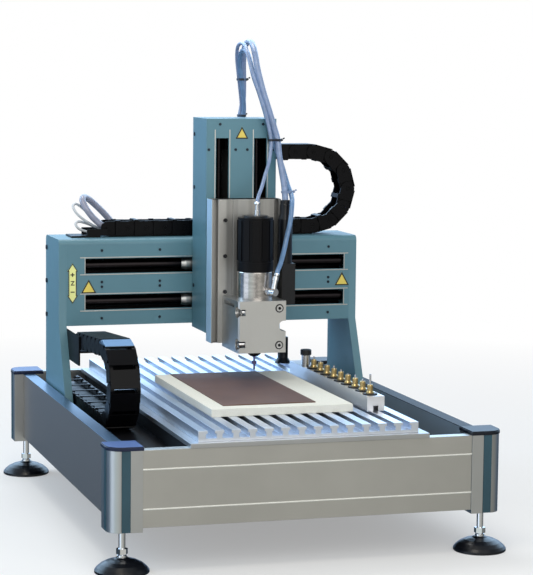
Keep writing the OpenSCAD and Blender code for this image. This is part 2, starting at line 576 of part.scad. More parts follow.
posts();
post_inserts();
post_caps();
panel_ends();
panel_sides();
foot_pads();
foot_studs();
underframe();
ledge_plate();
t_slot_table();
waste_board();
clad_board();
tool_rack();
tool_holders();
holder_rings();
rack_tools();
length_sensor();
rear_stand();
y_guides();
y_motor();
y_chain_lower();
y_screw();
y_chain_bend();
y_chain_upper();
chain_brackets();
end_plates();
beam();
beam_cover();
cover_trims();
cover_screws();
x_shafts();
x_screw();
x_motor();
gantry_labels();
cross_tie();
y_blocks();
x_chain_lower();
cable_loop();
x_chain_bend();
x_chain_upper();
column();
column_cover();
column_trims();
column_screws();
x_slider();
z_shafts();
z_screw();
z_motor();
x_chain_end();
hose_blue();
hose_clear();
z_plate();
z_slider();
clamp_block();
spindle_motor();
spindle_body();
head_fittings();
side_box();
rotor();
cutter();
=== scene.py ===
import json
import math
import bpy
import bmesh
from mathutils import Matrix, Vector


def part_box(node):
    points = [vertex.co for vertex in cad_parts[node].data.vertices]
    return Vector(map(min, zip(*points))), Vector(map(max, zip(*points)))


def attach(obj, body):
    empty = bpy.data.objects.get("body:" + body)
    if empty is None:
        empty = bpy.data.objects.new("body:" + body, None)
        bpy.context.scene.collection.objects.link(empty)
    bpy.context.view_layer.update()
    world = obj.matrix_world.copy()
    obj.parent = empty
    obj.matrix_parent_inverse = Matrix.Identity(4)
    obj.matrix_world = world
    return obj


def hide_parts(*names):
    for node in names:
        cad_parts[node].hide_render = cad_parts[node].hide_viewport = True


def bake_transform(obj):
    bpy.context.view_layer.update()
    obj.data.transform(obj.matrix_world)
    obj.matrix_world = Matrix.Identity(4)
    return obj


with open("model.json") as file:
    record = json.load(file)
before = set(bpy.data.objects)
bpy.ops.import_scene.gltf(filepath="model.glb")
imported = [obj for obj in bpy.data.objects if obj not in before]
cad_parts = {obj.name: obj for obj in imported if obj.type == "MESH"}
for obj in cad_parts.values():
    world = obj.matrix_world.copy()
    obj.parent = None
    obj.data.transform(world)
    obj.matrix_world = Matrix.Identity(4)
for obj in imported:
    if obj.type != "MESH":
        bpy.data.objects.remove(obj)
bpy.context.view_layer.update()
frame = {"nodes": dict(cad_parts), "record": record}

record = frame["record"]
nodes = frame["nodes"]
slotOf = {part["node"]: part["material_slot"] for part in record["subparts"]}
bodyOf = {node: body for body, members in record["behaviour"]["bodies"].items() for node in members}
mm = 0.001


def centre(node):
    low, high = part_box(node)
    return (low + high) / 2


print("stage: camera")
cameraSettings = {
    "place": (-0.96112, -3.30651, 0.74699), "yaw": 17.011, "pitch": 6.306, "roll": 0.600,
    "lens": 133.09, "sensor": 36,
}


def makeCamera(s):
    data = bpy.data.cameras.new("camera")
    data.lens = s["lens"]
    data.sensor_width = s["sensor"]
    camera = bpy.data.objects.new("camera", data)
    bpy.context.scene.collection.objects.link(camera)
    turn = (Matrix.Rotation(-math.radians(s["yaw"]), 4, "Z")
            @ Matrix.Rotation(math.radians(90 - s["pitch"]), 4, "X")
            @ Matrix.Rotation(math.radians(s["roll"]), 4, "Z"))
    camera.matrix_world = Matrix.Translation(s["place"]) @ turn
    bpy.context.scene.camera = camera


makeCamera(cameraSettings)


# node helpers that every material shares
def newMaterial(name, colour, metallic=0.0, roughness=0.5, **sockets):
    material = bpy.data.materials.new(name)
    material.use_nodes = True
    tree = material.node_tree
    shader = tree.nodes["Principled BSDF"]
    shader.inputs["Base Color"].default_value = (*colour, 1)
    shader.inputs["Metallic"].default_value = metallic
    shader.inputs["Roughness"].default_value = roughness
    for key, value in sockets.items():
        shader.inputs[key.replace("_", " ")].default_value = value
    material.diffuse_color = (*colour, 1)
    return material, tree, shader


def add(tree, kind, **values):
    node = tree.nodes.new(kind)
    for key, value in values.items():
        setattr(node, key, value)
    return node


def objectSpace(tree, scale=(1, 1, 1), location=(0, 0, 0)):
    coords = add(tree, "ShaderNodeTexCoord")
    mapping = add(tree, "ShaderNodeMapping")
    mapping.inputs["Scale"].default_value = scale
    mapping.inputs["Location"].default_value = location
    tree.links.new(coords.outputs["Object"], mapping.inputs["Vector"])
    return mapping.outputs["Vector"]


def noiseOn(tree, vector, scale, detail=4.0, roughness=0.55):
    noise = add(tree, "ShaderNodeTexNoise")
    noise.inputs["Scale"].default_value = scale
    noise.inputs["Detail"].default_value = detail
    noise.inputs["Roughness"].default_value = roughness
    tree.links.new(vector, noise.inputs["Vector"])
    return noise.outputs["Fac"]


def rampOf(tree, factor, stops):
    ramp = add(tree, "ShaderNodeValToRGB")
    elements = ramp.color_ramp.elements
    while len(elements) < len(stops):
        elements.new(0.5)
    for element, (position, colour) in zip(elements, stops):
        element.position = position
        element.color = (*colour, 1)
    tree.links.new(factor, ramp.inputs["Fac"])
    return ramp.outputs["Color"]


def cloudedColour(tree, factor, colour, spread, low=0.35, high=0.65):
    darker = tuple(c * (1 - spread) for c in colour)
    paler = tuple(min(1.0, c * (1 + spread)) for c in colour)
    return rampOf(tree, factor, [(low, darker), (high, paler)])


def bumpFrom(tree, shader, height, strength, distance=0.0005):
    bump = add(tree, "ShaderNodeBump")
    bump.inputs["Strength"].default_value = strength
    bump.inputs["Distance"].default_value = distance
    tree.links.new(height, bump.inputs["Height"])
    tree.links.new(bump.outputs["Normal"], shader.inputs["Normal"])


def roughBetween(tree, shader, factor, low, high):
    span = add(tree, "ShaderNodeMapRange")
    span.inputs["To Min"].default_value = low
    span.inputs["To Max"].default_value = high
    tree.links.new(factor, span.inputs["Value"])
    tree.links.new(span.outputs["Result"], shader.inputs["Roughness"])


def mathOf(tree, operation, first, second):
    node = add(tree, "ShaderNodeMath", operation=operation)
    for place, value in enumerate((first, second)):
        if isinstance(value, (int, float)):
            node.inputs[place].default_value = value
        else:
            tree.links.new(value, node.inputs[place])
    return node.outputs["Value"]


# one inside an upright box given by two corners, nought outside it
def insideBox(tree, low, high):
    split = add(tree, "ShaderNodeSeparateXYZ")
    tree.links.new(objectSpace(tree), split.inputs[0])
    factor = None
    for axis in range(3):
        over = mathOf(tree, "GREATER_THAN", split.outputs[axis], low[axis])
        under = mathOf(tree, "LESS_THAN", split.outputs[axis], high[axis])
        both = mathOf(tree, "MULTIPLY", over, under)
        factor = both if factor is None else mathOf(tree, "MULTIPLY", factor, both)
    return factor


# a second colour, metal value and roughness where the factor is one
def patch(tree, shader, factor, colour, metallic, roughness):
    mix = add(tree, "ShaderNodeMix", data_type="RGBA")
    tree.links.new(factor, mix.inputs["Factor"])
    tree.links.new(shader.inputs["Base Color"].links[0].from_socket, mix.inputs["A"])
    mix.inputs["B"].default_value = (*colour, 1)
    tree.links.new(mix.outputs["Result"], shader.inputs["Base Color"])
    for key, value in (("Metallic", metallic), ("Roughness", roughness)):
        span = add(tree, "ShaderNodeMapRange")
        tree.links.new(factor, span.inputs["Value"])
        if shader.inputs[key].is_linked:
            tree.links.new(shader.inputs[key].links[0].from_socket, span.inputs["To Min"])
        else:
            span.inputs["To Min"].default_value = shader.inputs[key].default_value
        span.inputs["To Max"].default_value = value
        tree.links.new(span.outputs["Result"], shader.inputs[key])


# one on a band round an axis that runs front to back through (x, z)
def insideRing(tree, x, z, inner, outer):
    split = add(tree, "ShaderNodeSeparateXYZ")
    tree.links.new(objectSpace(tree, location=(-x, 0, -z)), split.inputs[0])
    square = [mathOf(tree, "MULTIPLY", split.outputs[axis], split.outputs[axis]) for axis in (0, 2)]
    reach = mathOf(tree, "SQRT", mathOf(tree, "ADD", *square), 0.0)
    over = mathOf(tree, "GREATER_THAN", reach, inner)
    return mathOf(tree, "MULTIPLY", over, mathOf(tree, "LESS_THAN", reach, outer))


# drawn metal: fine lines along one axis and a faint clouding
def drawnMetal(name, colour, roughness, along="X", lines=1400, bump=0.12, spread=0.05):
    material, tree, shader = newMaterial(name, colour, 1.0, roughness)
    stretch = {"X": (0.02, 1, 1), "Y": (1, 0.02, 1), "Z": (1, 1, 0.02)}[along]
    fine = noiseOn(tree, objectSpace(tree, stretch), lines, 3)
    cloud = noiseOn(tree, objectSpace(tree), 9, 3)
    tree.links.new(cloudedColour(tree, cloud, colour, spread, 0.3, 0.7), shader.inputs["Base Color"])
    roughBetween(tree, shader, fine, roughness - 0.06, roughness + 0.06)
    bumpFrom(tree, shader, fine, bump, 0.00006)
    return material


# a rolled plate: drawn metal with broad upright bands besides, and less of a mirror
def rolledMetal(name, colour, roughness, bands=75, spread=0.20, metallic=0.55):
    material = drawnMetal(name, colour, roughness, "Z", 700)
    tree = material.node_tree
    shader = tree.nodes["Principled BSDF"]
    shader.inputs["Metallic"].default_value = metallic
    broad = noiseOn(tree, objectSpace(tree, (1, 1, 0.01)), bands, 2, 0.4)
    tree.links.new(cloudedColour(tree, broad, colour, spread, 0.40, 0.60), shader.inputs["Base Color"])
    return material


# powder coat: very fine orange peel under a soft sheen
def powderCoat(name, colour, roughness=0.42, sheen=0.5):
    material, tree, shader = newMaterial(name, colour, 0.0, roughness, Specular_IOR_Level=sheen)
    grain = noiseOn(tree, objectSpace(tree), 900, 2)
    cloud = noiseOn(tree, objectSpace(tree), 6, 4)
    tree.links.new(cloudedColour(tree, cloud, colour, 0.06), shader.inputs["Base Color"])
    roughBetween(tree, shader, grain, roughness - 0.05, roughness + 0.08)
    bumpFrom(tree, shader, grain, 0.10, 0.0002)
    return material


# moulded plastic: a fine even grain, a little cloudier than the paint
def mouldedPlastic(name, colour, roughness=0.45, grain=1500, bump=0.08, sheen=0.5):
    material, tree, shader = newMaterial(name, colour, 0.0, roughness, Specular_IOR_Level=sheen)
    fine = noiseOn(tree, objectSpace(tree), grain, 2)
    cloud = noiseOn(tree, objectSpace(tree), 14, 3)
    tree.links.new(cloudedColour(tree, cloud, colour, 0.12), shader.inputs["Base Color"])
    roughBetween(tree, shader, cloud, roughness - 0.06, roughness + 0.08)
    bumpFrom(tree, shader, fine, bump, 0.0002)
    return material


# turned metal: tool marks as fine level rings
def turnedMetal(name, colour, roughness, rings=900, spread=0.10):
    material, tree, shader = newMaterial(name, colour, 1.0, roughness)
    wave = add(tree, "ShaderNodeTexWave", wave_type="BANDS", bands_direction="Z")
    wave.inputs["Scale"].default_value = rings
    wave.inputs["Distortion"].default_value = 0.6
    tree.links.new(objectSpace(tree), wave.inputs["Vector"])
    cloud = noiseOn(tree, objectSpace(tree, (1, 1, 3)), 60, 3)
    tree.links.new(cloudedColour(tree, cloud, colour, spread), shader.inputs["Base Color"])
    roughBetween(tree, shader, cloud, roughness - 0.05, roughness + 0.06)
    bumpFrom(tree, shader, wave.outputs["Fac"], 0.10, 0.00008)
    return material


# waste board: a pale pressed fibre, matt and a little hairy
def fibreBoard(name, colour):
    material, tree, shader = newMaterial(name, colour, 0.0, 0.75)
    fibre = noiseOn(tree, objectSpace(tree, (1, 1, 3)), 420, 5, 0.7)
    tree.links.new(cloudedColour(tree, fibre, colour, 0.07, 0.35, 0.7), shader.inputs["Base Color"])
    bumpFrom(tree, shader, fibre, 0.25, 0.0003)
    return material


# copper foil on laminate: a cloudy brown tarnish that hides most of the metal, brushed one way
def copperFoil(name, colour):
    material, tree, shader = newMaterial(name, colour, 0.05, 0.5, Specular_IOR_Level=0.2)
    tarnish = noiseOn(tree, objectSpace(tree, (1, 0.6, 1)), 12, 6, 0.6)
    streak = noiseOn(tree, objectSpace(tree, (1, 0.05, 1)), 260, 3)
    stops = [(0.25, (0.095, 0.050, 0.038)), (0.5, colour), (0.75, (0.185, 0.120, 0.105))]
    tree.links.new(rampOf(tree, tarnish, stops), shader.inputs["Base Color"])
    roughBetween(tree, shader, tarnish, 0.42, 0.58)
    bumpFrom(tree, shader, streak, 0.08, 0.00005)
    return material


# clear or tinted hose: light passes a little way into it
def hosePlastic(name, colour, roughness=0.22, clear=0.25):
    material, tree, shader = newMaterial(name, colour, 0.0, roughness, Transmission_Weight=clear, IOR=1.45,
                                         Coat_Weight=0.4, Coat_Roughness=0.12)
    cloud = noiseOn(tree, objectSpace(tree), 90, 3)
    tree.links.new(cloudedColour(tree, cloud, colour, 0.10), shader.inputs["Base Color"])
    bumpFrom(tree, shader, cloud, 0.05, 0.0003)
    return material


print("stage: materials")
finish = {
    "anodised": drawnMetal("anodised", (0.47, 0.465, 0.44), 0.40, "X"),
    "anodisedDeep": drawnMetal("anodisedDeep", (0.44, 0.45, 0.46), 0.36, "Y"),
    "anodisedUp": drawnMetal("anodisedUp", (0.47, 0.48, 0.48), 0.34, "Z"),
    "table_metal": drawnMetal("tableMetal", (0.68, 0.73, 0.82), 0.33, "Y", 900),
    "block_metal": drawnMetal("blockMetal", (0.52, 0.52, 0.51), 0.36, "Z", 700, 0.07),
    "plate_metal": rolledMetal("plateMetal", (0.35, 0.345, 0.33), 0.38),
    "edge_metal": drawnMetal("edgeMetal", (0.50, 0.51, 0.50), 0.30, "X"),
    "teal_paint": powderCoat("tealPaint", (0.098, 0.228, 0.288)),
    "dark_metal": powderCoat("darkMetal", (0.006, 0.006, 0.008), 0.45, 0.3),
    "motor_black": powderCoat("motorBlack", (0.003, 0.003, 0.004), 0.36, 0.12),
    "screw_black": drawnMetal("screwBlack", (0.03, 0.04, 0.055), 0.35, "Z", 900, 0.1),
    "dark_steel": drawnMetal("darkSteel", (0.016, 0.014, 0.015), 0.28, "X", 900, 0.1),
    "bright_steel": drawnMetal("brightSteel", (0.60, 0.60, 0.61), 0.22, "Z", 1200, 0.05),
    "spindle_steel": turnedMetal("spindleSteel", (0.50, 0.47, 0.45), 0.17),
    "rack_metal": drawnMetal("rackMetal", (0.70, 0.70, 0.71), 0.36, "X", 900),
    "chrome": drawnMetal("chrome", (0.72, 0.73, 0.75), 0.12, "Z", 900, 0.03, 0.02),
    "brass": turnedMetal("brass", (0.52, 0.38, 0.17), 0.28),
    "black_plastic": mouldedPlastic("blackPlastic", (0.005, 0.006, 0.009), 0.28, 1500, 0.08, 0.35),
    "cap_plastic": mouldedPlastic("capPlastic", (0.010, 0.016, 0.045), 0.34, 2000, 0.03, 0.3),
    "teal_plastic": mouldedPlastic("tealPlastic", (0.016, 0.060, 0.085), 0.40),
    "chain_plastic": mouldedPlastic("chainPlastic", (0.003, 0.003, 0.004), 0.30, 1200, 0.05, 0.10),
    "black_rubber": mouldedPlastic("blackRubber", (0.006, 0.006, 0.008), 0.45, 1500, 0.08, 0.35),
    "waste_board": fibreBoard("wasteBoard", (0.78, 0.78, 0.71)),
    "copper_clad": copperFoil("copperClad", (0.140, 0.080, 0.062)),
    "label_yellow": mouldedPlastic("labelYellow", (0.80, 0.64, 0.12), 0.35, 800, 0.02),
    "label_pale": mouldedPlastic("labelPale", (0.80, 0.82, 0.32), 0.35, 800, 0.02),
    "hose_blue": hosePlastic("hoseBlue", (0.17, 0.31, 0.54)),
    "hose_clear": hosePlastic("hoseClear", (0.30, 0.40, 0.62), 0.25, 0.3),
    "cable_grey": hosePlastic("cableGrey", (0.33, 0.35, 0.46), 0.35, 0.1),
}
inkBlack = mouldedPlastic("inkBlack", (0.010, 0.010, 0.010), 0.4, 800, 0.02)
tieBlack = mouldedPlastic("tieBlack", (0.008, 0.012, 0.022), 0.3, 900, 0.03)
paleCable = mouldedPlastic("paleCable", (0.60, 0.63, 0.66), 0.4, 700, 0.03)
shadowBlack = (0.004, 0.004, 0.005)


# hoses and cables
print("stage: cords")


def smoothRoute(points, steps):
    out = []
    for i in range(steps + 1):
        s = i / steps * (len(points) - 1)
        j = min(int(s), len(points) - 2)
        t = s - j
        a, b, c, d = (Vector(points[min(max(k, 0), len(points) - 1)]) for k in (j - 1, j, j + 1, j + 2))
        straight = 2 * b + (c - a) * t
        curved = (2 * a - 5 * b + 4 * c - d) * t * t + (3 * b - a - 3 * c + d) * t ** 3
        out.append(0.5 * (straight + curved) * mm)
    return out


def tubePiece(name, route, radius, material):
    curve = bpy.data.curves.new(name, "CURVE")
    curve.dimensions = "3D"
    curve.bevel_depth = radius
    curve.bevel_resolution = 4
    curve.use_fill_caps = True
    line = curve.splines.new("POLY")
    line.points.add(len(route) - 1)
    for point, place in zip(line.points, route):
        point.co = (*place, 1)
    shape = bpy.data.objects.new(name + "Line", curve)
    bpy.context.scene.collection.objects.link(shape)
    bpy.context.view_layer.update()
    mesh = bpy.data.meshes.new_from_object(shape.evaluated_get(bpy.context.evaluated_depsgraph_get()))
    bpy.data.objects.remove(shape)
    mesh.name = name
    mesh.materials.clear()
    mesh.materials.append(material)
    mesh.shade_smooth()
    mesh.set_sharp_from_angle(angle=math.radians(50))
    piece = bpy.data.objects.new(name, mesh)
    bpy.context.scene.collection.objects.link(piece)
    return piece


def layCord(name, s, node, material, steps):
    route = smoothRoute(s["points"], steps * (len(s["points"]) - 1))
    piece = tubePiece(name, route, s["radius"] * mm, material)
    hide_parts(node)
    return piece


# routes in millimetres, the same points as the solids in the model
hoses = {
    "blueHose": {"radius": 4, "slot": "hose_blue", "stiffness": "stiff", "points": [
        (93.4, 207.8, 574.4), (84, 207.5, 578), (73, 206.5, 588), (66, 205, 604), (65, 203.5, 624),
        (68, 201.5, 646), (66, 198.5, 672), (61, 194, 702), (55, 184, 728), (51, 164, 745), (49, 138, 751),
        (47, 110, 746), (45.5, 88, 730), (49, 78, 706), (57, 72, 680), (65, 70, 654), (71.5, 66, 628),
        (77, 65, 604), (84, 64, 588), (90.5, 61, 570), (96, 55, 548), (99.5, 46, 529), (101, 34, 517),
        (99, 20, 507), (94.5, 7, 494), (90, 0, 472), (84, -3, 450), (76, -13, 428), (65, -30, 408),
        (57, -39.6, 396.5), (54.2, -41, 388.8)]},
    "clearHose": {"radius": 3, "slot": "hose_clear", "stiffness": "medium", "points": [
        (93.4, 215.5, 574.6), (84, 215.5, 578), (72, 215, 588), (64.5, 213.5, 606), (64, 212, 630),
        (66, 210, 656), (62, 206, 686), (57, 200, 712), (51, 188, 738), (46, 166, 756), (43.5, 136, 762),
        (42, 106, 757), (40, 82, 740), (42, 66, 716), (50, 58, 686), (60, 55, 656), (67, 54, 630),
        (71.5, 52, 604), (69, 46, 585), (63, 36, 566), (53, 22, 548), (42.5, 5, 530), (32.5, -8, 514),
        (30.5, -9, 503)]},
    "motorCable": {"radius": 5, "slot": "hose_clear", "stiffness": "medium", "points": [
        (92.6, 224.6, 575), (84, 224.6, 578.5), (72, 224, 590), (66, 222.5, 608), (67, 220.5, 634),
        (71, 217.5, 664), (70, 212, 700), (66, 200, 730), (61, 176, 755), (58, 146, 764), (56, 116, 762),
        (53, 88, 746), (53, 70, 718), (60, 62, 684), (70, 59.5, 652), (78, 58, 626), (84, 56, 604),
        (85.5, 51, 580), (87.5, 43, 555), (89, 33, 530), (89, 27, 512), (89, 26, 501)]},
}
hoseBend = ("x_carriage", "z_slide", (0, 0.14, 0.72), (0, 0.02, 0.64))
for name, s in hoses.items():
    slot = s["slot"]    # the hoses' nodes have the same names as their slots
    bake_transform(layCord(name, s, slot, finish[slot], steps=6))

loops = {
    "sleeveLoop": {"radius": 5.5, "material": finish["cable_grey"], "stiffness": "medium", "points": [
        (-172, 211, 449.5), (-181, 210, 455), (-195, 209, 468), (-206, 210, 483), (-210, 217, 495),
        (-205, 228, 500), (-194, 238, 495), (-180, 247, 484), (-165, 252, 470), (-152, 252.5, 455),
        (-147, 252, 443), (-147, 252, 432)]},
    "whiteLoop": {"radius": 2.2, "material": paleCable, "stiffness": "medium", "points": [
        (-170, 221.5, 445), (-184, 219, 449), (-204, 217, 460), (-220, 215, 473), (-226, 219, 485),
        (-219, 226, 489), (-205, 229.5, 479), (-188, 229, 463), (-170, 227.4, 453)]},
    "smallLoop": {"radius": 2.2, "material": paleCable, "stiffness": "medium", "points": [
        (-170, 217, 440.5), (-184, 216, 440), (-200, 214.5, 441.5), (-216, 213, 447), (-222, 216, 455),
        (-216, 221.5, 459), (-203, 225, 456), (-186, 226.5, 449.5), (-170, 226.5, 446)]},
}
for name, s in loops.items():
    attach(layCord(name, s, "cable_loop", s["material"], steps=8), "gantry")


# the nodes carried over from the solid model
print("stage: finishes")


def paint(node, material):
    thing = nodes[node]
    if not thing.material_slots:
        thing.data.materials.append(material)
    for place in thing.material_slots:
        place.material = material


for node in nodes:
    paint(node, finish[slotOf[node]])


# a copy of a finish for one node, with patches of (low, high, colour, metallic, roughness)
def patched(node, material, *patches):
    copy = material.copy()
    copy.name = node + "Finish"
    tree = copy.node_tree
    for low, high, colour, metallic, roughness in patches:
        patch(tree, tree.nodes["Principled BSDF"], insideBox(tree, low, high), colour, metallic, roughness)
    paint(node, copy)
    return copy


# patches: sizes are in millimetres, and each look is a colour, metallic and roughness
hair = Vector((1, 1, 1)) * mm    # how far a patch goes past the face that it covers

# black knurled cap of the length sensor
sensorLook = {"capHeight": 9.5, "cap": (shadowBlack, 0.0, 0.35)}
sensorLow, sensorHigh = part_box("length_sensor")
capFoot = Vector((sensorLow.x, sensorLow.y, sensorHigh.z - sensorLook["capHeight"] * mm))
patched("length_sensor", finish["bright_steel"], (capFoot, sensorHigh + hair, *sensorLook["cap"]))

# violet grey colour on the cutter
cutterLook = {"tint": ((0.15, 0.13, 0.28), 1.0, 0.3)}
cutterLow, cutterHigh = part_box("cutter")
patched("cutter", finish["bright_steel"], (cutterLow - hair, cutterHigh + hair, *cutterLook["tint"]))

# on the head: the cap screws in the plate painted dark, a painted shade for the recesses they sit in,
# the motor's dark top ring, and painted shade in the sockets of the two cap screws sunk in the clamp block
headLook = {
    "plateDepth": 6, "plateScrews": ((0.05, 0.05, 0.055), 1.0, 0.35),
    "ringReach": 21, "ringHeights": (476, 484.02), "ring": ((0.012, 0.013, 0.016), 0.0, 0.35),
}
blockScrews = {
    "heights": (337, 277), "side": 11, "gapInner": 4.9, "gapOuter": 7.0, "gap": (shadowBlack, 0.0, 0.5),
    "socket": 2.8, "socketDepth": (0.3, 2.6), "socketLook": ((0.02, 0.02, 0.022), 1.0, 0.4),
}
plateLow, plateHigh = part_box("z_plate")
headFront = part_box("head_fittings")[0].y
spindle = centre("rotor")
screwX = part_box("clamp_block")[1].x - blockScrews["side"] * mm


def headPatches(s, screws):
    plateFront = Vector((plateLow.x, plateLow.y - s["plateDepth"] * mm, plateLow.z))
    reach = Vector((s["ringReach"], s["ringReach"])) * mm
    low, high = (height * mm for height in s["ringHeights"])
    patches = [(plateFront, plateHigh, *s["plateScrews"]),
               (Vector((*(spindle.xy - reach), low)), Vector((*(spindle.xy + reach), high)), *s["ring"])]
    half = screws["socket"] * mm
    front, back = (headFront + depth * mm for depth in screws["socketDepth"])
    for height in screws["heights"]:
        patches.append((Vector((screwX - half, front, height * mm - half)),
                        Vector((screwX + half, back, height * mm + half)), *screws["socketLook"]))
    return patches


patched("head_fittings", finish["bright_steel"], *headPatches(headLook, blockScrews))


# pieces made here; their large faces keep their own normals, so that a flat face shades flat
def evenShading(piece):
    even = piece.modifiers.new("evenShading", "WEIGHTED_NORMAL")
    even.mode = "FACE_AREA"
    even.weight = 50
    even.keep_sharp = True
    bpy.context.view_layer.update()
    plain = piece.data
    piece.data = bpy.data.meshes.new_from_object(piece.evaluated_get(bpy.context.evaluated_depsgraph_get()))
    piece.modifiers.clear()
    name = plain.name
    bpy.data.meshes.remove(plain)
    piece.data.name = name


def addPiece(name, bm, material, body, angle=32, blend=None):
    mesh = bpy.data.meshes.new(name)
    bm.to_mesh(mesh)
    bm.free()
    mesh.materials.append(material)
    mesh.shade_smooth()
    mesh.set_sharp_from_angle(angle=math.radians(angle))
    piece = bpy.data.objects.new(name, mesh)
    bpy.context.scene.collection.objects.link(piece)
    evenShading(piece)
    if blend:
        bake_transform(piece)
    else:
        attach(piece, body)
    return piece


# a copy of a node with its sharp edges broken, which stands for the node
def broken(node, width, material=None, angle=32, blend=None):
    bm = bmesh.new()
    bm.from_mesh(nodes[node].data)
    bmesh.ops.remove_doubles(bm, verts=bm.verts, dist=0.00001)
    bmesh.ops.dissolve_limit(bm, angle_limit=math.radians(0.6), verts=bm.verts, edges=bm.edges,
                             use_dissolve_boundaries=False, delimit={"NORMAL"})
    sharp = [e for e in bm.edges if len(e.link_faces) == 2 and e.calc_face_angle(0) > math.radians(angle)]
    bmesh.ops.bevel(bm, geom=sharp, offset=width * mm, offset_type="OFFSET", segments=2, profile=0.5,
                    affect="EDGES", clamp_overlap=True, material=-1)
    words = node.split("_")
    name = words[0] + "".join(word.capitalize() for word in words[1:]) + "Body"
    piece = addPiece(name, bm, material or finish[slotOf[node]], bodyOf[node], angle=40,
                     blend=blend)
    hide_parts(node)
    return piece


print("stage: broken edges")
edgeWidths = {
    "posts": 0.5, "post_caps": 0.8, "ledge_plate": 0.5, "t_slot_table": 0.35, "waste_board": 0.6,
    "clad_board": 0.25, "tool_rack": 0.4, "end_plates": 0.8, "beam_cover": 0.6, "column": 0.6,
    "column_cover": 0.5, "z_plate": 0.5, "clamp_block": 0.5, "side_box": 1.0, "x_slider": 0.4,
    "panel_ends": 0.35, "panel_sides": 0.35,
}
otherFinish = {
    "posts": finish["anodisedUp"], "tool_rack": finish["rack_metal"], "ledge_plate": finish["anodisedDeep"],
}

# the tops of the left caps carry a painted sheen, a pale blue for the window light they reflect; the right
# caps are coloured darker, near black all over
capLook = {
    "skin": 0.25, "wornTop": ((0.058, 0.115, 0.320), 0.0, 0.36),
    "fresh": ((0.004, 0.006, 0.012), 0.0, 0.42),
}
capLow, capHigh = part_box("post_caps")
capTop = Vector((capLow.x - hair.x, capLow.y - hair.y, capHigh.z - capLook["skin"] * mm))
otherFinish["post_caps"] = patched(
    "post_caps", finish["cap_plastic"], (capTop, capHigh + hair, *capLook["wornTop"]),
    (Vector((0, capLow.y, capLow.z)) - hair, capHigh + hair * 2, *capLook["fresh"]))

# the plate's flanks carry painted light: a pale blue for the blue window light falling on them, on a matt
# finish
flankLook = {"skin": 0.7, "sawn": ((0.42, 0.62, 0.80), 0.25, 0.5)}
skin = flankLook["skin"] * mm
leftEnd = Vector((plateLow.x + skin, plateHigh.y, plateHigh.z))
rightStart = Vector((plateHigh.x - skin, plateLow.y, plateLow.z))
otherFinish["z_plate"] = patched(
    "z_plate", finish["plate_metal"],
    (plateLow - hair, leftEnd + Vector((0, hair.y, hair.z)), *flankLook["sawn"]),
    (rightStart - Vector((0, hair.y, hair.z)), plateHigh + hair, *flankLook["sawn"]))

# the side panels are plain milled metal inside and a darker warm grey outside; on top the left one
# carries a painted sheen, a blue metal tint for the window it reflects, and the right one painted shade
sideLook = {
    "skin": 0.8, "wall": 1.2, "top": 0.5, "milledTop": 0.6, "worn": ((0.30, 0.28, 0.27), 0.85, 0.40),
    "milled": ((0.24, 0.32, 0.40), 0.25, 0.5), "dulled": ((0.07, 0.10, 0.14), 0.0, 0.75),
    "rubbed": ((0.10, 0.18, 0.28), 1.0, 0.32),
}


def sidePatches(s):
    low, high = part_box("panel_sides")
    top = high.z - s["top"] * mm
    wall = s["wall"] * mm
    innerLow = Vector((low.x + wall, low.y - hair.y, low.z - hair.z))
    innerHigh = Vector((high.x - wall, high.y + hair.y, high.z - s["milledTop"] * mm))
    return [(low - hair, Vector((low.x + s["skin"] * mm, high.y, top)), *s["worn"]),
            (innerLow, innerHigh, *s["milled"]),
            (Vector((0, low.y, high.z - hair.z)) - hair / 2, high + hair, *s["dulled"]),
            (Vector((low.x - hair.x, low.y, top)), Vector((0, high.y, high.z)) + hair, *s["rubbed"])]


otherFinish["panel_sides"] = patched("panel_sides", finish["anodisedDeep"], *sidePatches(sideLook))

# the thin lips along the end panels carry a painted highlight, near white, for the light they catch
endLook = {"lip": 1.05, "bright": ((0.88, 0.88, 0.82), 0.35, 0.4)}
endLow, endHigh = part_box("panel_ends")
lipBack = Vector((endHigh.x + hair.x, endLow.y + endLook["lip"] * mm, endHigh.z + hair.z))
otherFinish["panel_ends"] = patched(
    "panel_ends", finish["anodised"], (endLow - hair, lipBack, *endLook["bright"]))

# the column is black inside, between its walls
columnLook = {"wall": 4.5, "head": 18, "inside": (shadowBlack, 0.0, 0.5)}
columnLow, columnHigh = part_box("column")
wall = columnLook["wall"]
otherFinish["column"] = patched(
    "column", finish["teal_paint"],
    (columnLow + Vector((wall, wall, -1)) * mm, columnHigh - Vector((wall, wall, columnLook["head"])) * mm,
     *columnLook["inside"]))

# painted shade: dark rings round the cap screws of the clamp block, for the shadow in their counterbores
blockFinish = patched("clamp_block", finish["block_metal"])
blockTree = blockFinish.node_tree
gapInner, gapOuter = (blockScrews[key] * mm for key in ("gapInner", "gapOuter"))
for height in blockScrews["heights"]:
    ring = insideRing(blockTree, screwX, height * mm, gapInner, gapOuter)
    patch(blockTree, blockTree.nodes["Principled BSDF"], ring, *blockScrews["gap"])
otherFinish["clamp_block"] = blockFinish
for node, width in edgeWidths.items():
    broken(node, width, otherFinish.get(node))


# copies of the chain pieces with broken edges; each run lists the bodies and places it starts and ends at,
# but is only fixed where it stands, and each bend rides on its body
print("stage: cable chains")
chainEdge = 0.45
chainBlends = {
    "y_chain_lower": ("base", "gantry", (0, 0.303, 0.170), (0, -0.477, 0.170)),
    "y_chain_upper": ("base", "gantry", (0, -0.2666, 0.286), (0, 0.0926, 0.286)),
    "x_chain_lower": ("gantry", "x_carriage", (-0.1695, 0.217, 0.449), (0.5565, 0.217, 0.449)),
    "x_chain_upper": ("gantry", "x_carriage", (0.2925, 0.217, 0.576), (0.0945, 0.217, 0.576)),
    "y_chain_bend": None, "x_chain_bend": None,
}
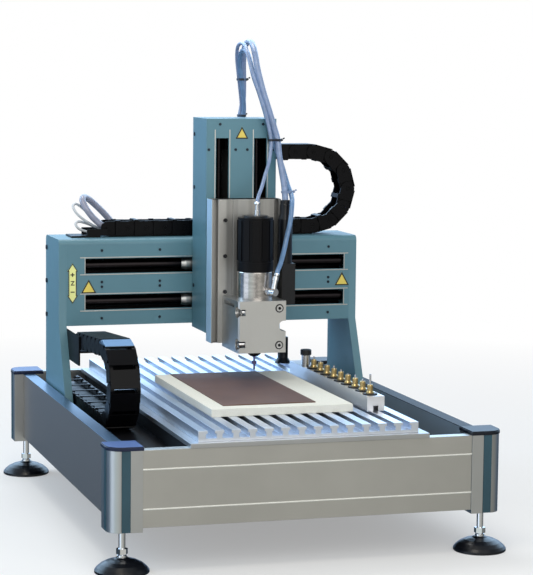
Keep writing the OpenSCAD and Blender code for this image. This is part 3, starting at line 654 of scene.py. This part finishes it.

# the uppermost links of the bend carry a painted sheen, a blue metal tint for the window they reflect
bendLook = {"depth": 7, "rubbed": ((0.085, 0.150, 0.240), 0.55, 0.28)}
bendLow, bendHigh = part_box("y_chain_bend")
bendTop = Vector((bendLow.x - hair.x, bendLow.y - hair.y, bendHigh.z - bendLook["depth"] * mm))
bendSheenTop = (bendTop, bendHigh + hair, *bendLook["rubbed"])
bendSheenChain = patched("y_chain_bend", finish["chain_plastic"], bendSheenTop)
for node, blend in chainBlends.items():
    broken(node, chainEdge, bendSheenChain if node == "y_chain_bend" else None, blend=blend)


# stickers: yellow triangles and the axis mark, with black edges and signs
print("stage: labels")
labels = {
    "raise": 0.25, "edge": 1.9, "gantryTriangles": [(-211.5, 355), (236, 359)], "triangle": (13, 11.5),
    "columnTriangle": (27.6, 615), "columnSize": (11, 10), "axisMark": (-239, 360.5), "axisEdge": 1.3,
    "halfArrow": [(0, 34), (-9.2, 20), (-6.8, 20), (-6.8, -20), (-9.2, -20), (0, -34)], "sheet": 0.4,
    "signs": {"plus": 14.5, "minus": -14.5}, "bar": (6.6, 1.8), "letter": 10, "bold": 0.25,
}
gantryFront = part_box("gantry_labels")[0].y
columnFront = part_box("column_cover")[0].y


def facingFront(x, y, z):
    return Matrix.Translation((x * mm, y, z * mm)) @ Matrix.Rotation(math.radians(90), 4, "X")


def outline(points):
    bm = bmesh.new()
    bm.faces.new([bm.verts.new((x * mm, z * mm, 0)) for x, z in points]).normal_update()
    return bm


def thicken(bm, depth):
    grown = bmesh.ops.extrude_face_region(bm, geom=bm.faces[:])
    moved = [item for item in grown["geom"] if isinstance(item, bmesh.types.BMVert)]
    bmesh.ops.translate(bm, verts=moved, vec=(0, 0, depth * mm))
    bmesh.ops.recalc_face_normals(bm, faces=bm.faces)


def edgeBand(points, width):
    bm = outline(points)
    face = next(iter(bm.faces))
    bmesh.ops.inset_region(bm, faces=[face], thickness=width * mm, use_boundary=True, use_even_offset=True)
    bmesh.ops.delete(bm, geom=[face], context="FACES_ONLY")
    thicken(bm, labels["raise"])
    return bm


def stick(name, bm, material, place, y, body):
    x, z = place
    bmesh.ops.transform(bm, matrix=facingFront(x, y, z), verts=bm.verts)
    return addPiece(name, bm, material, body)


def trianglePoints(half, high):
    return [(-half, -high), (half, -high), (0, high)]


def bar(width, height):
    bm = bmesh.new()
    bmesh.ops.create_cube(bm, size=mm)
    bmesh.ops.scale(bm, verts=bm.verts, vec=(width, height, labels["raise"]))
    bmesh.ops.translate(bm, verts=bm.verts, vec=(0, 0, labels["raise"] * mm / 2))
    return bm


def letterPiece(name, letter, size, place, y, body):
    text = bpy.data.curves.new(name, "FONT")
    text.body = letter
    text.size = size * mm
    text.align_x = "CENTER"
    text.align_y = "CENTER"
    text.extrude = labels["raise"] * mm / 2
    text.offset = labels["bold"] * mm
    shape = bpy.data.objects.new(name + "Text", text)
    bpy.context.scene.collection.objects.link(shape)
    bpy.context.view_layer.update()
    mesh = bpy.data.meshes.new_from_object(shape.evaluated_get(bpy.context.evaluated_depsgraph_get()))
    bpy.data.objects.remove(shape)
    bm = bmesh.new()
    bm.from_mesh(mesh)
    bpy.data.meshes.remove(mesh)
    bmesh.ops.translate(bm, verts=bm.verts, vec=(0, 0, labels["raise"] * mm / 2))
    return stick(name, bm, inkBlack, place, y, body)


for place, name in zip(labels["gantryTriangles"], ("leftTriangleEdge", "rightTriangleEdge")):
    band = edgeBand(trianglePoints(*labels["triangle"]), labels["edge"])
    stick(name, band, inkBlack, place, gantryFront, "gantry")

sticker = outline(trianglePoints(*labels["columnSize"]))
thicken(sticker, labels["raise"])
columnSpot = labels["columnTriangle"]
stickerFront = columnFront - labels["raise"] * mm
stick("columnTriangle", sticker, finish["label_yellow"], columnSpot, columnFront, "x_carriage")
band = edgeBand(trianglePoints(*labels["columnSize"]), labels["edge"])
stick("columnTriangleEdge", band, inkBlack, columnSpot, stickerFront, "x_carriage")

# the axis mark is a wider sheet laid over the plain one
arrowMark = labels["halfArrow"] + [(-x, z) for x, z in reversed(labels["halfArrow"][1:-1])]
sheet = outline(arrowMark)
thicken(sheet, labels["sheet"] + labels["raise"])
markSpot = labels["axisMark"]
markX, markZ = markSpot
stick("axisMark", sheet, finish["label_pale"], markSpot, gantryFront + labels["sheet"] * mm, "gantry")
markFront = gantryFront - labels["raise"] * mm
stick("axisMarkEdge", edgeBand(arrowMark, labels["axisEdge"]), inkBlack, markSpot, markFront, "gantry")
length, thickness = labels["bar"]
for name, rise in labels["signs"].items():
    stick(name + "Bar", bar(length, thickness), inkBlack, (markX, markZ + rise), markFront, "gantry")
plusSpot = (markX, markZ + labels["signs"]["plus"])
stick("plusUpright", bar(thickness, length), inkBlack, plusSpot, markFront, "gantry")
letterPiece("axisLetter", "Z", labels["letter"], markSpot, markFront, "gantry")


# cable ties: a belt drawn tight round the hoses that pass one height
print("stage: cable ties")
ties = {
    "upperTie": {"height": 701, "behind": True, "hoses": tuple(hoses), "material": tieBlack},
    "lowerTie": {"height": 639, "behind": True, "hoses": tuple(hoses), "material": tieBlack},
    "frontTie": {"height": 603.5, "behind": False, "hoses": tuple(hoses), "material": tieBlack},
    "sideTie": {"height": 519, "behind": False, "hoses": ("blueHose", "motorCable"),
                "material": finish["hose_clear"]},
}
tieSize = {
    "width": 3.6, "thickness": 1.1, "gap": 0.1, "sides": 48, "middleY": 135, "lean": -25,
    "head": (4, 3.6, 4), "headOut": 1.5, "tail": (3.2, 1.1, 2.4), "tailShift": (4, 0, 2.5),
}


# where a hose passes the height, on its rear or its front run
def crossing(name, height, behind):
    s = hoses[name]
    route = smoothRoute(s["points"], 20 * len(s["points"]))
    side = [p for p in route if (p.y > tieSize["middleY"] * mm) == behind]
    point = min(side, key=lambda p: abs(p.z - height * mm))
    return Vector((point.x, point.y)), s["radius"] * mm


def makeTie(name, s):
    rounds = [crossing(hose, s["height"], s["behind"]) for hose in s["hoses"]]
    bm = bmesh.new()
    bmesh.ops.create_circle(bm, segments=tieSize["sides"], radius=1)
    for vert in bm.verts:
        way = vert.co.xy.normalized()
        middle, radius = max(rounds, key=lambda item: item[0].dot(way) + item[1])
        rim = middle + way * (radius + tieSize["gap"] * mm)
        vert.co = (*rim, (s["height"] - tieSize["width"] / 2) * mm)
    belt = bmesh.ops.extrude_edge_only(bm, edges=bm.edges[:])
    raised = [item for item in belt["geom"] if isinstance(item, bmesh.types.BMVert)]
    bmesh.ops.translate(bm, verts=raised, vec=(0, 0, tieSize["width"] * mm))
    bmesh.ops.recalc_face_normals(bm, faces=bm.faces)
    bmesh.ops.solidify(bm, geom=bm.faces[:], thickness=-tieSize["thickness"] * mm)
    right = max(rounds, key=lambda item: item[0].x + item[1])
    headPlace = Vector((right[0].x + right[1] + tieSize["headOut"] * mm, right[0].y, s["height"] * mm))
    lean = Matrix.Rotation(math.radians(tieSize["lean"]), 3, "Y")
    for size, shift in ((tieSize["head"], (0, 0, 0)), (tieSize["tail"], tieSize["tailShift"])):
        block = bmesh.ops.create_cube(bm, size=mm)["verts"]
        bmesh.ops.scale(bm, verts=block, vec=size)
        bmesh.ops.rotate(bm, verts=block, cent=(0, 0, 0), matrix=lean)
        bmesh.ops.translate(bm, verts=block, vec=headPlace + Vector(shift) * mm)
    bmesh.ops.recalc_face_normals(bm, faces=bm.faces)
    addPiece(name, bm, s["material"], "x_carriage", blend=hoseBend)


for name, s in ties.items():
    makeTie(name, s)


# sealing rings where the hoses enter their fittings, turned along the last stretch of the hose
print("stage: sealing rings")
seals = {
    "glandSeal": {"hose": "motorCable", "radius": 7.6, "reach": (-1.2, 5), "finish": "black_rubber"},
    "motorFittingSeal": {"hose": "clearHose", "radius": 4.6, "reach": (-0.9, 3), "finish": "chrome"},
    "airFittingSeal": {"hose": "blueHose", "radius": 5.4, "reach": (-0.6, 3.5), "finish": "chrome"},
}
sealFit = {"clearance": 0.15, "rim": 0.6, "steps": 40}


def makeSeal(name, s):
    cord = hoses[s["hose"]]
    last, before = (Vector(p) * mm for p in (cord["points"][-1], cord["points"][-2]))
    inner = (cord["radius"] + sealFit["clearance"]) * mm
    outer = s["radius"] * mm
    low, high = (z * mm for z in s["reach"])
    rim = sealFit["rim"] * mm
    profile = [(inner, low), (outer, low), (outer, high - rim), (outer - rim, high), (inner, high)]
    bm = bmesh.new()
    corners = [bm.verts.new((x, 0, z)) for x, z in profile]
    edges = [bm.edges.new(pair) for pair in zip(corners, corners[1:] + corners[:1])]
    bmesh.ops.spin(bm, geom=corners + edges, cent=(0, 0, 0), axis=(0, 0, 1), angle=math.radians(360),
                   steps=sealFit["steps"], use_merge=True)
    bmesh.ops.remove_doubles(bm, verts=bm.verts, dist=0.00001)
    bmesh.ops.recalc_face_normals(bm, faces=bm.faces)
    turn = (before - last).to_track_quat("Z", "Y").to_matrix().to_4x4()
    bmesh.ops.transform(bm, matrix=Matrix.Translation(last) @ turn, verts=bm.verts)
    addPiece(name, bm, finish[s["finish"]], "z_slide")


for name, s in seals.items():
    makeSeal(name, s)


print("stage: floor and light")
floorLook = {"radius": 14, "colour": (0.80, 0.81, 0.82), "near": 0.45, "far": 2.2, "nearWhite": 0.35}


# seen directly the floor fades to plain white away from the object; metal looks past it at the room
def makeFloor(s):
    bm = bmesh.new()
    bmesh.ops.create_circle(bm, cap_ends=True, segments=96, radius=s["radius"])
    mesh = bpy.data.meshes.new("floor")
    bm.to_mesh(mesh)
    bm.free()
    floor = bpy.data.objects.new("floor", mesh)
    bpy.context.scene.collection.objects.link(floor)
    material, tree, shader = newMaterial("paleFloor", s["colour"], 0, 0.9)
    white = add(tree, "ShaderNodeEmission")
    away = add(tree, "ShaderNodeVectorMath", operation="LENGTH")
    tree.links.new(objectSpace(tree), away.inputs[0])
    fade = add(tree, "ShaderNodeMapRange")
    fade.inputs["From Min"].default_value = s["near"]
    fade.inputs["From Max"].default_value = s["far"]
    fade.inputs["To Min"].default_value = s["nearWhite"]
    tree.links.new(away.outputs["Value"], fade.inputs["Value"])
    ray = add(tree, "ShaderNodeLightPath")
    part = mathOf(tree, "MULTIPLY", ray.outputs["Is Camera Ray"], fade.outputs["Result"])
    seen = add(tree, "ShaderNodeMixShader")
    tree.links.new(part, seen.inputs["Fac"])
    tree.links.new(shader.outputs["BSDF"], seen.inputs[1])
    tree.links.new(white.outputs["Emission"], seen.inputs[2])
    through = add(tree, "ShaderNodeBsdfTransparent")
    mirrored = add(tree, "ShaderNodeMixShader")
    tree.links.new(ray.outputs["Is Glossy Ray"], mirrored.inputs["Fac"])
    tree.links.new(seen.outputs["Shader"], mirrored.inputs[1])
    tree.links.new(through.outputs["BSDF"], mirrored.inputs[2])
    tree.links.new(mirrored.outputs["Shader"], tree.nodes["Material Output"].inputs["Surface"])
    mesh.materials.append(material)


roomLook = {
    "soft": (0.86, 0.93, 1.0), "softStrength": 0.52, "roomStrength": 1.25,
    "back": [(0.385, (0.03, 0.045, 0.06)), (0.44, (0.07, 0.11, 0.15)), (0.48, (0.34, 0.50, 0.78)),
             (0.50, (0.42, 0.64, 1.05)), (0.66, (0.62, 0.82, 1.0)), (0.85, (0.42, 0.47, 0.52))],
    "front": [(0.40, (0.72, 0.72, 0.68)), (0.50, (0.80, 0.80, 0.77)), (0.66, (0.90, 0.93, 0.95)),
              (0.85, (0.42, 0.45, 0.48))],
    "across": [(0.05, (0.66, 0.80, 0.90)), (0.18, (0.86, 0.96, 1.0)), (0.32, (0.78, 0.80, 0.82)),
               (0.44, (0.38, 0.38, 0.38)), (0.60, (0.72, 0.72, 0.71)), (0.80, (0.38, 0.38, 0.37))],
    "wallTurn": (-0.5, 0.3),
    "windowLow": (-0.55, 0.3, 0.22), "windowHigh": (0.85, 1.0, 0.72), "window": (1.5, 2.15, 2.9),
    "doorLow": (-1.0, -0.75, -0.35), "doorHigh": (-0.86, 0.05, 0.5), "door": (0.95, 1.08, 1.25),
}


def directionInside(tree, split, low, high):
    factor = 1
    for axis in range(3):
        over = mathOf(tree, "GREATER_THAN", split.outputs[axis], low[axis])
        factor = mathOf(tree, "MULTIPLY", factor, over)
        under = mathOf(tree, "LESS_THAN", split.outputs[axis], high[axis])
        factor = mathOf(tree, "MULTIPLY", factor, under)
    return factor


# the room that metal reflects: a cool wall with a window behind, a plain pale wall in front, a
# bright doorway to the left
def makeWorld(s):
    world = bpy.data.worlds.new("studio")
    bpy.context.scene.world = world
    world.use_nodes = True
    tree = world.node_tree
    soft = tree.nodes["Background"]
    soft.inputs["Color"].default_value = (*s["soft"], 1)
    soft.inputs["Strength"].default_value = s["softStrength"]
    plain = add(tree, "ShaderNodeBackground")
    plain.inputs["Color"].default_value = (1, 1, 1, 1)
    coords = add(tree, "ShaderNodeTexCoord")
    split = add(tree, "ShaderNodeSeparateXYZ")
    tree.links.new(coords.outputs["Generated"], split.inputs[0])
    rise = mathOf(tree, "ADD", mathOf(tree, "MULTIPLY", split.outputs["Z"], 0.5), 0.5)
    side = add(tree, "ShaderNodeMapRange", interpolation_type="SMOOTHSTEP")
    side.inputs["From Min"].default_value, side.inputs["From Max"].default_value = s["wallTurn"]
    tree.links.new(split.outputs["Y"], side.inputs["Value"])
    level = mathOf(tree, "ADD", mathOf(tree, "MULTIPLY", split.outputs["X"], 0.5), 0.5)
    near = add(tree, "ShaderNodeMix", data_type="RGBA", blend_type="MULTIPLY")
    near.inputs["Factor"].default_value = 1
    tree.links.new(rampOf(tree, rise, s["front"]), near.inputs["A"])
    tree.links.new(rampOf(tree, level, s["across"]), near.inputs["B"])
    walls = add(tree, "ShaderNodeMix", data_type="RGBA")
    tree.links.new(side.outputs["Result"], walls.inputs["Factor"])
    tree.links.new(near.outputs["Result"], walls.inputs["A"])
    tree.links.new(rampOf(tree, rise, s["back"]), walls.inputs["B"])
    seenWalls = walls.outputs["Result"]
    for opening in ("window", "door"):
        inside = directionInside(tree, split, s[opening + "Low"], s[opening + "High"])
        bright = add(tree, "ShaderNodeMix", data_type="RGBA")
        tree.links.new(inside, bright.inputs["Factor"])
        tree.links.new(seenWalls, bright.inputs["A"])
        bright.inputs["B"].default_value = (*s[opening], 1)
        seenWalls = bright.outputs["Result"]
    room = add(tree, "ShaderNodeBackground")
    room.inputs["Strength"].default_value = s["roomStrength"]
    tree.links.new(seenWalls, room.inputs["Color"])
    ray = add(tree, "ShaderNodeLightPath")
    glossy = add(tree, "ShaderNodeMixShader")
    tree.links.new(ray.outputs["Is Glossy Ray"], glossy.inputs["Fac"])
    tree.links.new(soft.outputs["Background"], glossy.inputs[1])
    tree.links.new(room.outputs["Background"], glossy.inputs[2])
    straight = mathOf(tree, "MAXIMUM", ray.outputs["Is Camera Ray"], ray.outputs["Is Transmission Ray"])
    seen = add(tree, "ShaderNodeMixShader")
    tree.links.new(straight, seen.inputs["Fac"])
    tree.links.new(glossy.outputs["Shader"], seen.inputs[1])
    tree.links.new(plain.outputs["Background"], seen.inputs[2])
    tree.links.new(seen.outputs["Shader"], tree.nodes["World Output"].inputs["Surface"])


lamps = {
    "topLamp": {"place": (-0.1, 0.75, 2.3), "aim": (0, 0, 0.2), "size": 0.9, "power": 16,
                "colour": (1.0, 0.99, 0.96)},
    "overLamp": {"place": (-0.6, -1.0, 2.2), "aim": (0, 0, 0.2), "size": 0.8, "power": 11,
                 "colour": (1.0, 0.92, 0.78)},
    "frontLamp": {"place": (0.1, -3.0, 1.7), "aim": (0, 0, 0.25), "size": 2.6, "power": 40,
                  "colour": (1.0, 0.97, 0.91)},
    "windowLamp": {"place": (-2.2, 1.3, 1.3), "aim": (0, 0, 0.4), "size": 1.4, "power": 22,
                   "colour": (0.50, 0.75, 1.0)},
}


def makeLamp(name, s):
    data = bpy.data.lights.new(name, "AREA")
    data.shape = "SQUARE"
    data.size = s["size"]
    data.energy = s["power"]
    data.color = s["colour"]
    lamp = bpy.data.objects.new(name, data)
    bpy.context.scene.collection.objects.link(lamp)
    lamp.location = s["place"]
    lamp.rotation_euler = (Vector(s["aim"]) - Vector(s["place"])).to_track_quat("-Z", "Y").to_euler()


makeFloor(floorLook)
makeWorld(roomLook)
for name, s in lamps.items():
    makeLamp(name, s)
bpy.context.scene.view_settings.view_transform = "Standard"
